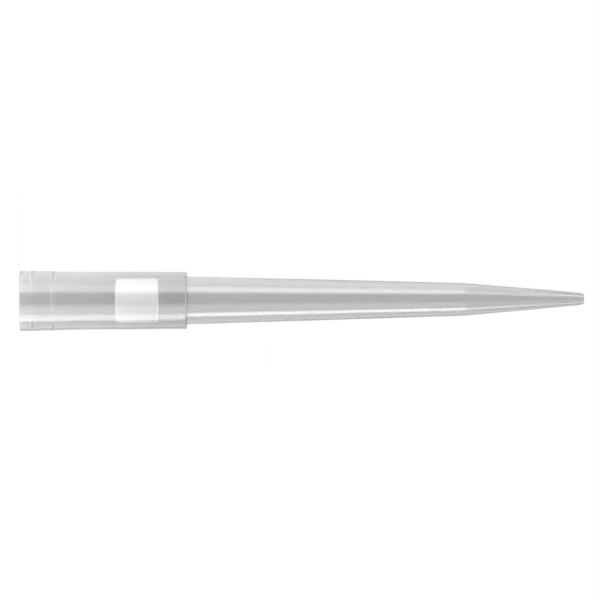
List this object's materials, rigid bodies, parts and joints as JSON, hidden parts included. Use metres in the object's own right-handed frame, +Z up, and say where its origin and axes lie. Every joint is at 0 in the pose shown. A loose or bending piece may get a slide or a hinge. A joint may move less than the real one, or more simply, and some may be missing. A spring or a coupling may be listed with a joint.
{
  "type": "pipette tip",
  "caption": "Clear filter tip for a 1000 microlitre pipette: collared mouth with a nozzle socket, white filter plug, long tapered body and a fine point.",
  "frame": {"origin": "centre of the mouth's flat rim, on which the tip stands", "axes": "+Z up along the tip's own axis, from the mouth to the point; +X and +Y are alike, because the tip is a body of revolution"},
  "size_m": [0.0088, 0.0088, 0.0822],
  "materials": {
    "clear_polypropylene": "gloss",
    "white_filter": "matte"
  },
  "bodies": {
    "root": {"tip_body": "clear_polypropylene", "filter_plug": "white_filter"}
  },
  "joints": []
}
